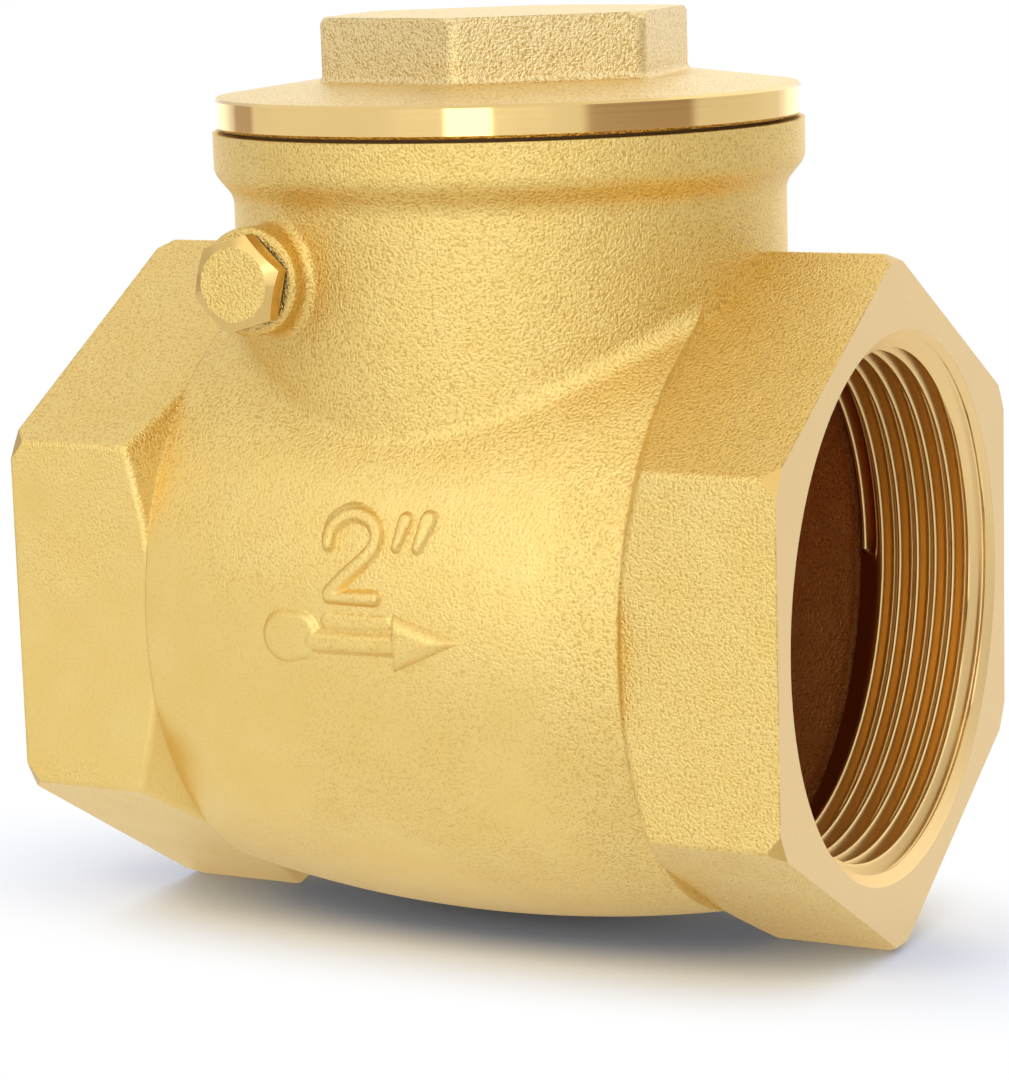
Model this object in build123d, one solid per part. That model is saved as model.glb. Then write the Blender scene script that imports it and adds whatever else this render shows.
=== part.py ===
from build123d import *
import math
import os

# Swing check valve for a 2 in threaded pipe, cast in brass and machined where it seals.
# Millimetres. It is drawn from the centre of the inlet end face, with +X along the flow
# and +Z up the neck, and written out with its origin where the inlet thread starts.
# Water pushes the hinged disc off its seat, and its own weight and any back flow close it.

# Pipe ends: cast hexagons with a corner upwards, faced and threaded inside.
face_to_face = 93.3
port_bore_radius = 28.3
port_wall = 5.65
port_mouth_chamfer = 2.4
port_thread_depth = 16.6
hex_edge_round = 0.9
hex_corner_length = 15.2
shoulder_angle = 60.0
shoulder_round = 0.8
corner_turning = 1.0
corner_turning_angle = 30.0

# Seat: a raised ring on the inlet side, leaning so that gravity holds the disc on it.
passage_step = 2.8
seat_step = 3.0
seat_setback = 10.55
seat_lean = 6.0
seat_lip_width = 2.3
seat_lip_height = 1.8
seat_lip_flare = 1.5
seat_wall = 5.3

# Disc: a brass holder with a stud, faced with rubber that reaches a little past the seat.
facing_overlap = 0.4
facing_rim = 1.2
facing_thickness = 2.5
facing_stand_out = 0.5
disc_thickness = 3.0
disc_edge_thickness = 2.2
disc_boss_radius = 8.0
disc_boss_height = 1.5
stud_radius = 4.0
plate_radius = 11.0
plate_thickness = 1.4
screw_radius = 2.5
screw_depth = 7.0
screw_across_flats = 8.0
screw_head_height = 3.2

# Barrel between the hexagons: the room round the disc, the wall, and the bulge of its side.
disc_room = 7.4
barrel_wall = 4.0
barrel_bulge = 2.85

# Neck that takes the cap.
neck_inset = 6.53
neck_wall = 3.67
neck_foot_round = 3.0
neck_rim_overhang = 2.13
neck_rim_height = 4.5
neck_rim_taper = 2.6
neck_rim_round = 2.5

# Screwed cap with its hexagon head.
cap_thread_step = 0.8
cap_thread_length = 8.4
cap_flange_inset = 0.3
cap_flange_edge = 3.5
cap_flange_edge_break = 0.3
cap_crown = 1.4
cap_head_across_flats = 37.2
cap_head_height = 7.2
cap_head_turn = 41.6
cap_head_corner_break = 1.0
cap_head_corner_round = 1.7
cap_head_foot_round = 0.8
cap_thread_wall = 5.9
cap_roof = 5.0
gasket_thickness = 0.4
gasket_width = 2.4

# Hinge pin, the lugs that carry it, and the screwed plug over its near end.
pin_downstream = 4.3
pin_radius = 2.5
pin_end_break = 0.4
boss_radius = 5.9
boss_stand_out = 1.73
boss_edge_break = 0.5
boss_foot_round = 1.0
far_boss_stand_out = 0.33
far_boss_round = 2.0
far_hole_wall = 3.6
hub_wall_gap = 0.5
plug_thread_radius = 4.0
plug_thread_length = 5.4
plug_across_flats = 9.54
plug_side_height = 1.55
plug_face_radius = 4.05
plug_head_turn = 16.4
plug_washer_thickness = 0.5
plug_washer_radius = 4.7

# Hanger: the arm that carries the disc from the pin, and its hub's room above the disc and under the cap.
hub_radius = 4.9
hub_disc_gap = 6.75
hub_cap_gap = 1.65
eye_radius = 8.6
eye_thickness = 4.6
arm_hub_share = 0.55
arm_thickness = 4.6
rib_width = 4.0
rib_height = 1.8

# Fasteners on the stud.
washer_radius = 8.0
washer_thickness = 1.0
nut_across_flats = 13.0
nut_height = 4.0
split_pin_radius = 0.7
split_pin_reach = 4.4
split_pin_bend = 35.0
stud_end_length = 3.7

# Clearances: a turning fit, faces that close on each other, and parts screwed or laid in.
turning_clearance = 0.05
face_clearance = 0.1
seated_clearance = 0.05

# Radii, each from the one inside it: port, seat, disc, barrel, neck and cap.
hex_across_flats = 2 * (port_bore_radius + port_wall)
hex_corner_radius = hex_across_flats / math.sqrt(3)
inlet_passage_radius = port_bore_radius - passage_step
seat_bore_radius = inlet_passage_radius - seat_step
facing_radius = seat_bore_radius + seat_lip_width + facing_overlap
disc_radius = facing_radius + facing_rim
barrel_middle_radius = disc_radius + disc_room + barrel_wall
barrel_end_radius = barrel_middle_radius - barrel_bulge
neck_radius = barrel_middle_radius - neck_inset
neck_bore_radius = neck_radius - neck_wall
neck_rim_radius = neck_radius + neck_rim_overhang
cap_thread_radius = neck_bore_radius + cap_thread_step
cap_recess_radius = cap_thread_radius - cap_thread_wall
cap_flange_radius = neck_rim_radius - cap_flange_inset

# Places along the pipe, and heights above it.
neck_x = face_to_face / 2
seat_x = port_thread_depth + seat_setback
pin_x = seat_x + pin_downstream
barrel_start_x = hex_corner_length + (hex_corner_radius - barrel_end_radius) / math.tan(
    math.radians(shoulder_angle)
)
outlet_thread_x = face_to_face - port_thread_depth
pin_height = disc_radius + hub_disc_gap + hub_radius
cap_thread_bottom = pin_height + hub_radius + hub_cap_gap
neck_top_height = cap_thread_bottom + cap_thread_length
flange_under = neck_top_height + gasket_thickness

# Reaches along the pin, from the middle plane.
pin_bore_radius = pin_radius + turning_clearance
half_lug_gap = math.sqrt((neck_bore_radius - hub_wall_gap) ** 2 - (neck_x - pin_x + hub_radius) ** 2)
half_hub = half_lug_gap - face_clearance
boss_reach = neck_radius + boss_stand_out
far_boss_reach = neck_radius + far_boss_stand_out
far_hole_reach = far_boss_reach - far_hole_wall

# The seat plane looks downstream and a little upwards; the pin plane looks along the pin.
lean = math.radians(seat_lean)
seat_plane = Plane(origin=(seat_x, 0, 0), x_dir=(0, 1, 0), z_dir=(math.cos(lean), 0, math.sin(lean)))
pin_plane = Plane(origin=(pin_x, 0, pin_height), x_dir=(1, 0, 0), z_dir=(0, -1, 0))
neck_plane = Plane(origin=(neck_x, 0, 0))
mid_plane = Plane(origin=(neck_x, 0, 0), z_dir=(1, 0, 0))

# Heights along the stud, counted from the seat face.
facing_back = face_clearance + facing_thickness
disc_front = face_clearance + facing_stand_out
disc_back = facing_back + disc_thickness
disc_boss_top = disc_back + disc_boss_height
eye_front = disc_boss_top + face_clearance
eye_back = eye_front + eye_thickness
washer_front = eye_back + face_clearance
nut_front = washer_front + washer_thickness
nut_back = nut_front + nut_height
stud_end = nut_back + stud_end_length
plate_front = face_clearance - plate_thickness

# The pin as it lies in the seat plane: up the disc, and out along the stud.
pin_from_seat = seat_plane.to_local_coords(Vector(pin_x, 0, pin_height))
pin_up = pin_from_seat.Y
pin_out = pin_from_seat.Z


def rod(radius, start, end):
    """Round bar on the local Z axis from start to end."""
    bar = Cylinder(radius, end - start, align=(Align.CENTER, Align.CENTER, Align.MIN))
    return Pos(0, 0, start) * bar


def tube(outer, inner, start, end):
    """Round bar with a hole right through it."""
    return rod(outer, start, end) - rod(inner, start, end)


def hexagon(across_flats, start, end, turn, corner_round=0):
    """Hexagonal bar on the local Z axis, with one corner at the angle turn."""
    outline = RegularPolygon(across_flats / math.sqrt(3), 6, rotation=turn)
    if corner_round:
        outline = fillet(outline.vertices(), corner_round)
    return Pos(0, 0, start) * extrude(outline, amount=end - start)


def turned_on_z(*corners):
    """Solid turned about the local Z axis from corners given as radius and height."""
    return revolve(Plane.XZ * make_face(Polyline(*corners, close=True)), Axis.Z)


def turned_on_x(*corners):
    """Solid turned about the pipe axis from corners given as x and radius."""
    return revolve(make_face(Polyline(*corners, close=True)), Axis.X)


def bulged_on_x(start, end, end_radius, middle_radius):
    """Barrel about the pipe axis whose side is one arc."""
    side = ThreePointArc(
        (start, end_radius), ((start + end) / 2, middle_radius), (end, end_radius)
    )
    ends = Polyline((end, end_radius), (end, 0), (start, 0), (start, end_radius))
    return revolve(make_face(side + ends), Axis.X)


def mirrored_end(shape):
    """The same shape at the other end of the valve."""
    return mirror(shape, about=mid_plane)


def hex_end():
    """Inlet hexagon, turned at its outer corners and coned, with soft edges, towards the barrel."""
    outline = RegularPolygon(hex_corner_radius, 6, rotation=90)
    outline = fillet(outline.vertices(), hex_edge_round)
    length = hex_corner_length + hex_corner_radius / math.tan(math.radians(shoulder_angle))
    bar = extrude(Plane.YZ * outline, amount=length)
    face_radius = hex_corner_radius - corner_turning
    turning_length = corner_turning / math.tan(math.radians(corner_turning_angle))
    envelope = turned_on_x(
        (0, 0),
        (0, face_radius),
        (turning_length, hex_corner_radius),
        (hex_corner_length, hex_corner_radius),
        (length, 0),
    )
    bar = bar & envelope
    shoulder = [
        edge
        for edge in bar.edges()
        if edge.geom_type not in (GeomType.LINE, GeomType.CIRCLE) and (edge @ 0.5).X > hex_corner_length
    ]
    return fillet(shoulder, shoulder_round)


def barrel_radius(distance):
    """Radius of the barrel's side, one arc carried on past the ends, at a distance from its middle."""
    rise = barrel_middle_radius - barrel_end_radius
    half_length = neck_x - barrel_start_x
    arc_radius = (half_length**2 + rise**2) / (2 * rise)
    return barrel_middle_radius - arc_radius + math.sqrt(arc_radius**2 - distance**2)


def barrel_with_neck():
    """Barrel and neck with its rim, rounded where they meet and cut off at the hexagons."""
    half_length = neck_radius + 2 * neck_foot_round
    long_barrel = bulged_on_x(
        neck_x - half_length,
        neck_x + half_length,
        barrel_radius(half_length),
        barrel_middle_radius,
    )
    neck = neck_plane * rod(neck_radius, 0, neck_top_height)
    joined = long_barrel + neck
    saddle = [edge for edge in joined.edges() if edge.geom_type == GeomType.BSPLINE]
    joined = fillet(saddle, neck_foot_round)
    between_hexes = neck_plane * Box(
        face_to_face - 2 * barrel_start_x, face_to_face, 3 * neck_top_height
    )
    joined = (joined & (between_hexes + neck)) + neck_rim()
    rim_bottom = neck_top_height - neck_rim_height
    taper_ends = joined.edges().filter_by(GeomType.CIRCLE).filter_by_position(
        Axis.Z, rim_bottom - neck_rim_taper - face_clearance, rim_bottom + face_clearance
    )
    return fillet(taper_ends, neck_rim_round)


def neck_rim():
    """Thicker rim at the top of the neck, tapered into it below."""
    rim_bottom = neck_top_height - neck_rim_height
    return neck_plane * turned_on_z(
        (0, rim_bottom - neck_rim_taper),
        (neck_radius, rim_bottom - neck_rim_taper),
        (neck_rim_radius, rim_bottom),
        (neck_rim_radius, neck_top_height),
        (0, neck_top_height),
    )


def port_bore():
    """Inlet thread bore at its crest radius, with the chamfer at its mouth."""
    return turned_on_x(
        (0, 0),
        (0, port_bore_radius + port_mouth_chamfer),
        (port_mouth_chamfer, port_bore_radius),
        (port_thread_depth, port_bore_radius),
        (port_thread_depth, 0),
    )


def chamber():
    """Room that the disc swings in, from the seat floor to the outlet thread and up the neck."""
    barrel_end_x = face_to_face - barrel_start_x
    room = bulged_on_x(
        barrel_start_x,
        barrel_end_x,
        barrel_end_radius - barrel_wall,
        barrel_middle_radius - barrel_wall,
    )
    throat = turned_on_x(
        (barrel_end_x, 0),
        (barrel_end_x, barrel_end_radius - barrel_wall),
        (outlet_thread_x, port_bore_radius),
        (outlet_thread_x, 0),
    )
    behind_floor = seat_plane * Pos(0, 0, -seat_lip_height) * Box(
        face_to_face, face_to_face, face_to_face, align=(Align.CENTER, Align.CENTER, Align.MAX)
    )
    neck_bore = neck_plane * rod(neck_bore_radius, 0, neck_top_height)
    return room + throat + neck_bore - behind_floor


def cap_bore():
    """Bore at the top of the neck for the cap's thread."""
    return neck_plane * rod(cap_thread_radius, cap_thread_bottom - seated_clearance, neck_top_height)


def seat_ring():
    """Raised ring that the rubber closes on, with its flared root."""
    lip_radius = seat_bore_radius + seat_lip_width
    return seat_plane * turned_on_z(
        (0, -seat_lip_height - seat_wall / 2),
        (lip_radius + seat_lip_flare, -seat_lip_height - seat_wall / 2),
        (lip_radius + seat_lip_flare, -seat_lip_height),
        (lip_radius, 0),
        (0, 0),
    )


def pin_lugs():
    """Bar of lug stock along the pin, out to each boss face, less the gap for the hanger."""
    near = rod(boss_radius, half_lug_gap, boss_reach)
    near = chamfer(near.edges().group_by(Axis.Z)[-1], boss_edge_break)
    far = rod(boss_radius, -far_boss_reach, -half_lug_gap)
    far = fillet(far.edges().group_by(Axis.Z)[0], far_boss_round)
    return pin_plane * (near + far)


def with_bosses(body):
    """The body with the lug stock through it, rounded where the near boss stands out of the wall."""
    joined = body + pin_lugs()
    foot = [edge for edge in joined.edges().filter_by(GeomType.BSPLINE) if is_round_near_boss(edge)]
    return fillet(foot, boss_foot_round)


def is_round_near_boss(edge):
    """Whether an edge runs round the side of the near boss."""
    places = [pin_plane.to_local_coords(edge @ share) for share in (0.1, 0.5, 0.9)]
    return all(
        p.Z > 0 and abs(math.hypot(p.X, p.Y) - boss_radius) < seated_clearance for p in places
    )


def pin_holes():
    """Blind pin hole from the near boss, widened for the plug's thread."""
    hole = rod(pin_bore_radius, -far_hole_reach, boss_reach)
    thread = rod(plug_thread_radius, boss_reach - plug_thread_length - seated_clearance, boss_reach)
    return pin_plane * (hole + thread)


def valve_body():
    """One casting: two hexagon ends, barrel, neck, bosses, lugs and seat."""
    inlet_end = hex_end()
    body = barrel_with_neck() + inlet_end + mirrored_end(inlet_end)
    body = with_bosses(body)
    body = body - chamber() - cap_bore() - port_bore() - mirrored_end(port_bore())
    passage = turned_on_x(
        (0, 0),
        (0, inlet_passage_radius),
        (seat_x - seat_lip_height - seat_wall, inlet_passage_radius),
        (seat_x - seat_lip_height - seat_wall, 0),
    )
    seat_hole = seat_plane * rod(seat_bore_radius, -seat_x, face_clearance)
    body = body + seat_ring() - passage - seat_hole
    return body + (pin_lugs() & pin_room()) - pin_holes()


def pin_room():
    """Space inside the neck, where the lugs stand in from the wall."""
    return neck_plane * rod(neck_bore_radius + 1, 0, neck_top_height)


def bonnet_cap():
    """Screwed cap: hexagon head, crowned flange and hollow threaded spigot."""
    head_corner = cap_head_across_flats / math.sqrt(3)
    crown_top = flange_under + cap_flange_edge + cap_crown
    head_top = crown_top + cap_head_height
    flange = turned_on_z(
        (0, flange_under),
        (cap_flange_radius - cap_flange_edge_break, flange_under),
        (cap_flange_radius, flange_under + cap_flange_edge_break),
        (cap_flange_radius, flange_under + cap_flange_edge - cap_flange_edge_break),
        (cap_flange_radius - cap_flange_edge_break, flange_under + cap_flange_edge),
        (head_corner + cap_head_foot_round, crown_top),
        (0, crown_top),
    )
    head = hexagon(
        cap_head_across_flats, crown_top, head_top, cap_head_turn, cap_head_corner_round
    )
    head = head & turned_on_z(
        (0, crown_top),
        (head_corner, crown_top),
        (head_corner, head_top - cap_head_corner_break),
        (head_corner - cap_head_corner_break, head_top),
        (0, head_top),
    )
    top = flange + head
    at_crown = top.edges().filter_by_position(
        Axis.Z, crown_top - seated_clearance, crown_top + seated_clearance
    )
    foot = [edge for edge in at_crown if math.hypot((edge @ 0.5).X, (edge @ 0.5).Y) < head_corner]
    top = fillet(foot, cap_head_foot_round)
    spigot = rod(cap_thread_radius - seated_clearance, cap_thread_bottom, flange_under)
    recess = rod(cap_recess_radius, cap_thread_bottom, crown_top - cap_roof)
    return neck_plane * (top + spigot - recess)


def cap_gasket():
    """Flat ring between the neck rim and the cap flange."""
    inner = cap_thread_radius + seated_clearance
    return neck_plane * tube(inner + gasket_width, inner, neck_top_height, flange_under)


def hinge_pin():
    """Plain pin from the blind hole to the plug, broken at both ends."""
    near_end = boss_reach - plug_thread_length - face_clearance
    pin = rod(pin_radius, face_clearance - far_hole_reach, near_end)
    return pin_plane * chamfer(pin.edges().filter_by(GeomType.CIRCLE), pin_end_break)


def plug_washer():
    """Thin sealing ring under the plug's head."""
    inner = plug_thread_radius + seated_clearance
    return pin_plane * tube(
        plug_washer_radius, inner, boss_reach, boss_reach + plug_washer_thickness
    )


def hinge_pin_plug():
    """Screwed plug with a hexagon head turned down to a round face."""
    under = boss_reach + plug_washer_thickness
    corner = plug_across_flats / math.sqrt(3)
    side_top = under + plug_side_height
    head_top = side_top + (corner - plug_face_radius) * math.tan(math.radians(30))
    head = hexagon(plug_across_flats, under, head_top, plug_head_turn)
    head = head & turned_on_z(
        (0, under), (corner, under), (corner, side_top), (plug_face_radius, head_top), (0, head_top)
    )
    shank = rod(plug_thread_radius - seated_clearance, boss_reach - plug_thread_length, under)
    return pin_plane * (head + shank)


def disc_hanger():
    """Arm with a long hub on the pin and an eye round the stud."""
    half_top = half_hub * arm_hub_share
    hub_place = Pos(0, pin_up, pin_out) * Rot(0, 90, 0)
    eye = rod(eye_radius, eye_front, eye_back)
    arm_outline = make_face(
        Polyline(
            (-half_top, pin_up),
            (-eye_radius, 0),
            (eye_radius, 0),
            (half_top, pin_up),
            close=True,
        )
    )
    arm = Pos(0, 0, eye_front) * extrude(arm_outline, amount=arm_thickness)
    rib_length = pin_up - washer_radius - hub_radius
    rib = Pos(0, pin_up, eye_front) * Box(
        rib_width,
        rib_length,
        arm_thickness + rib_height,
        align=(Align.CENTER, Align.MAX, Align.MIN),
    )
    hub = hub_place * rod(hub_radius, -half_hub, half_hub)
    above_hub = Pos(0, pin_up, 0) * Box(
        face_to_face, face_to_face, face_to_face, align=(Align.CENTER, Align.MIN, Align.CENTER)
    )
    hanger = eye + (arm + rib - above_hub) + hub
    hanger = hanger - hub_place * rod(pin_bore_radius, -half_hub, half_hub)
    return seat_plane * (hanger - rod(stud_radius + turning_clearance, eye_front, eye_back))


def disc_holder():
    """Brass disc, recessed for the rubber, with its stud turned in one piece."""
    edge_back = disc_front + disc_edge_thickness + facing_thickness - facing_stand_out
    disc = turned_on_z(
        (0, disc_front),
        (disc_radius, disc_front),
        (disc_radius, min(edge_back, disc_back)),
        (disc_boss_radius, disc_back),
        (disc_boss_radius, disc_boss_top),
        (stud_radius, disc_boss_top),
        (stud_radius, stud_end - pin_end_break),
        (stud_radius - pin_end_break, stud_end),
        (0, stud_end),
    )
    recess = rod(facing_radius + face_clearance, disc_front, facing_back)
    screw_hole = rod(screw_radius, facing_back, facing_back + screw_depth + face_clearance)
    cross_hole = split_pin_place() * rod(
        split_pin_radius + seated_clearance, -stud_radius, stud_radius
    )
    return seat_plane * (disc - recess - screw_hole - cross_hole)


def seat_facing():
    """Rubber face that closes on the seat ring."""
    return seat_plane * tube(
        facing_radius, screw_radius + seated_clearance, face_clearance, facing_back
    )


def facing_plate():
    """Brass plate that clamps the rubber at its middle."""
    return seat_plane * tube(
        plate_radius, screw_radius + seated_clearance, plate_front, face_clearance
    )


def facing_screw():
    """Hexagon screw through the plate into the end of the stud."""
    head = hexagon(screw_across_flats, plate_front - screw_head_height, plate_front, 0)
    shank = rod(screw_radius - seated_clearance, plate_front, facing_back + screw_depth)
    return seat_plane * (head + shank)


def hanger_washer():
    """Plain washer behind the eye."""
    return seat_plane * tube(washer_radius, stud_radius + seated_clearance, washer_front, nut_front)


def hanger_nut():
    """Nut that keeps the disc on the hanger, free to turn with it."""
    corner = nut_across_flats / math.sqrt(3)
    flat = nut_across_flats / 2
    drop = (corner - flat) * math.tan(math.radians(30))
    nut = hexagon(nut_across_flats, nut_front, nut_back, 0)
    nut = nut & turned_on_z(
        (0, nut_front),
        (flat, nut_front),
        (corner, nut_front + drop),
        (corner, nut_back - drop),
        (flat, nut_back),
        (0, nut_back),
    )
    return seat_plane * (nut - rod(stud_radius + seated_clearance, nut_front, nut_back))


def split_pin_place():
    """Axis of the cross hole, level across the stud and just behind the nut."""
    return Pos(0, 0, (nut_back + stud_end) / 2) * Rot(0, 90, 0)


def split_pin():
    """Split pin through the stud, with its eye at one side and its legs bent at the other."""
    eye_middle = split_pin_radius * 1.7
    shank = rod(split_pin_radius, -split_pin_reach - split_pin_radius, split_pin_reach)
    eye = Pos(0, 0, -split_pin_reach - eye_middle) * Rot(90, 0, 0) * Torus(
        eye_middle, split_pin_radius * 0.8
    )
    leg = rod(split_pin_radius * 0.6, -split_pin_radius * 0.5, split_pin_radius * 3)
    tip = Pos(0, 0, split_pin_reach)
    legs = tip * Rot(0, split_pin_bend, 0) * leg + tip * Rot(0, -split_pin_bend, 0) * leg
    return seat_plane * split_pin_place() * (shank + eye + legs)


pieces = {
    "valve_body": valve_body,
    "bonnet_cap": bonnet_cap,
    "cap_gasket": cap_gasket,
    "hinge_pin": hinge_pin,
    "hinge_pin_plug": hinge_pin_plug,
    "plug_washer": plug_washer,
    "disc_hanger": disc_hanger,
    "disc_holder": disc_holder,
    "seat_facing": seat_facing,
    "facing_plate": facing_plate,
    "facing_screw": facing_screw,
    "hanger_washer": hanger_washer,
    "hanger_nut": hanger_nut,
    "split_pin": split_pin,
}

to_thread_start = Pos(-port_mouth_chamfer, 0, 0)
os.makedirs("parts", exist_ok=True)
for name, make in pieces.items():
    export_step(to_thread_start * make(), f"parts/{name}.step")
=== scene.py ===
"""Looks of a 2 in brass swing check valve: its finishes, pipe threads, cast marks and studio."""

import logging
import math
from dataclasses import dataclass
from enum import Enum

import bmesh
import bpy
from mathutils import Matrix, Vector


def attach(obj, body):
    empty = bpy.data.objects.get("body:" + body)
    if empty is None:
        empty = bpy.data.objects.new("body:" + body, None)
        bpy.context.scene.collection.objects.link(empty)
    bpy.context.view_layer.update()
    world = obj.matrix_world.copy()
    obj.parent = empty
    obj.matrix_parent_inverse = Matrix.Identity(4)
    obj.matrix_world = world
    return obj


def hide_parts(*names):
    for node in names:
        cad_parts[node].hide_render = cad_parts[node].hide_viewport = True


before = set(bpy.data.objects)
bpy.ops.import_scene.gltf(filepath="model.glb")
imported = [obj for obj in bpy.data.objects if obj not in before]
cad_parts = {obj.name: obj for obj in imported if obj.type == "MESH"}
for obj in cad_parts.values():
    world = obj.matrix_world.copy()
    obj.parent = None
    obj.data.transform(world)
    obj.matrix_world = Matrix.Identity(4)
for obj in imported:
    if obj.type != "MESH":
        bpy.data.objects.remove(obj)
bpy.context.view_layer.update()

log = logging.getLogger("check_valve")
MM = 0.001
WHITE = (1.0, 1.0, 1.0, 1.0)

# The pipe axis is X, the neck axis is upright, and both ports are alike.
NECK_X = 44.25

# Soft noise keeps almost wholly within these values.
NOISE_LOW, NOISE_HIGH = 0.3, 0.7

Tree = bpy.types.NodeTree
Socket = bpy.types.NodeSocket
Triple = tuple[float, float, float]


def linear(colour: str) -> tuple[float, float, float, float]:
    """Turns an sRGB hex colour into linear light.

    Args:
        colour: six hex digits after a hash sign.

    Returns:
        Red, green, blue and an alpha of 1.
    """
    parts = [int(colour[i : i + 2], 16) / 255 for i in (1, 3, 5)]
    red, green, blue = (p / 12.92 if p <= 0.04045 else ((p + 0.055) / 1.055) ** 2.4 for p in parts)
    return red, green, blue, 1.0


def add(
    tree: Tree, kind: str, settings: dict | None = None, inputs: dict | None = None
) -> bpy.types.Node:
    """Adds a node with its settings and links.

    Args:
        tree: the node tree that it goes into.
        kind: the node's type name.
        settings: attribute values by name.
        inputs: values or linked sockets, by input name or number.

    Returns:
        The new node.
    """
    made = tree.nodes.new(kind)
    for name, value in (settings or {}).items():
        setattr(made, name, value)
    for key, value in (inputs or {}).items():
        if isinstance(value, Socket):
            tree.links.new(value, made.inputs[key])
        else:
            made.inputs[key].default_value = value
    return made


def maths(tree: Tree, operation: str, *values: Socket | float) -> Socket:
    """Adds a calculation.

    Args:
        tree: the node tree that it goes into.
        operation: the calculation's name.
        values: what it is done with, one or two values.

    Returns:
        Its result.
    """
    inputs = dict(enumerate(values))
    return add(tree, "ShaderNodeMath", {"operation": operation}, inputs).outputs["Value"]


def times(tree: Tree, first: Socket, second: Socket) -> Socket:
    """Multiplies two values."""
    return maths(tree, "MULTIPLY", first, second)


def ramp(
    tree: Tree,
    value: Socket,
    start: float,
    end: float,
    low: float = 0.0,
    high: float = 1.0,
    smooth: bool = False,
) -> Socket:
    """Lets a result go from low to high while a value goes from start to end.

    Args:
        tree: the node tree that it goes into.
        value: the value that is followed.
        start: the value at which the result is low.
        end: the value at which the result is high.
        low: the result up to the start.
        high: the result past the end.
        smooth: whether it eases in and out.

    Returns:
        The result.
    """
    return add(
        tree,
        "ShaderNodeMapRange",
        {"interpolation_type": "SMOOTHSTEP" if smooth else "LINEAR"},
        {"Value": value, "From Min": start, "From Max": end, "To Min": low, "To Max": high},
    ).outputs["Result"]


def spread(tree: Tree, pattern: Socket, low: float, high: float) -> Socket:
    """Spreads a noise pattern over a range of values."""
    return ramp(tree, pattern, NOISE_LOW, NOISE_HIGH, low, high)


def noise(
    tree: Tree, place: Socket, size_mm: float, detail: float = 2.0, roughness: float = 0.5
) -> Socket:
    """Adds soft noise.

    Args:
        tree: the node tree that it goes into.
        place: the place on the surface.
        size_mm: how far across its features are, about.
        detail: how many finer layers it has.
        roughness: how strong the finer layers are.

    Returns:
        The pattern, from 0 to 1.
    """
    inputs = {"Vector": place, "Scale": 1.0 / (size_mm * MM)}
    inputs |= {"Detail": detail, "Roughness": roughness}
    return add(tree, "ShaderNodeTexNoise", {}, inputs).outputs["Fac"]


def stripes(tree: Tree, along: Socket, size_mm: float) -> Socket:
    """Adds noise that varies along one coordinate only, as a cutting tool's marks do."""
    inputs = {"W": along, "Scale": 1.0 / (size_mm * MM), "Detail": 3.0}
    return add(tree, "ShaderNodeTexNoise", {"noise_dimensions": "1D"}, inputs).outputs["Fac"]


def bump(tree: Tree, height: Socket, depth_mm: float, **more: Socket) -> Socket:
    """Adds fine relief.

    Args:
        tree: the node tree that it goes into.
        height: the height pattern, from 0 to 1.
        depth_mm: how deep the pattern goes.
        more: further inputs of the relief, by name.

    Returns:
        The surface normal with the relief in it.
    """
    inputs = {"Height": height, "Distance": depth_mm * MM, **more}
    return add(tree, "ShaderNodeBump", {}, inputs).outputs["Normal"]


def mix(tree: Tree, share: Socket, first: tuple | Socket, second: tuple | Socket) -> Socket:
    """Mixes two colours: the first where the share is 0, and the second where it is 1."""
    inputs = {"Factor": share, "A": first, "B": second}
    return add(tree, "ShaderNodeMix", {"data_type": "RGBA"}, inputs).outputs["Result"]


def place_on(tree: Tree) -> Socket:
    """The place on the surface, in metres."""
    return add(tree, "ShaderNodeTexCoord").outputs["Object"]


def parts_of(tree: Tree, vector: Socket) -> bpy.types.bpy_prop_collection:
    """A vector's parts, by the names X, Y and Z."""
    return add(tree, "ShaderNodeSeparateXYZ", {}, {"Vector": vector}).outputs


def pipe_radius(tree: Tree, parts: bpy.types.bpy_prop_collection) -> Socket:
    """How far a place is from the pipe axis."""
    across = add(tree, "ShaderNodeCombineXYZ", {}, {"X": parts["Y"], "Y": parts["Z"]})
    inputs = {0: across.outputs["Vector"]}
    return add(tree, "ShaderNodeVectorMath", {"operation": "LENGTH"}, inputs).outputs["Value"]


def blank(name: str) -> tuple[bpy.types.Material, Tree, bpy.types.Node]:
    """Starts a material.

    Args:
        name: the finish that it is.

    Returns:
        The material, its node tree and its surface shader.
    """
    material = bpy.data.materials.new(name)
    material.use_nodes = True
    tree = material.node_tree
    return material, tree, tree.nodes["Principled BSDF"]


def add_links(
    tree: Tree,
    shader: bpy.types.Node,
    colour: Socket | None,
    roughness: Socket | None,
    normal: Socket | None,
) -> None:
    """Links a pattern's outputs to the surface shader.

    Args:
        tree: the material's node tree.
        shader: its surface shader.
        colour: what drives the base colour, if anything does.
        roughness: what drives the roughness, if anything does.
        normal: the bumped normal, if there is one.
    """
    for name, socket in (("Base Color", colour), ("Roughness", roughness), ("Normal", normal)):
        if socket is not None:
            tree.links.new(socket, shader.inputs[name])


class Finish:
    """Base of the finishes: each makes its material once and hands out the same one."""

    name: str

    def material(self) -> bpy.types.Material:
        """The finish's material, made on first use."""
        found = bpy.data.materials.get(self.name)
        return found or self.make()

    def make(self) -> bpy.types.Material:
        """Builds the material. Each finish has its own way."""
        raise NotImplementedError


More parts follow.
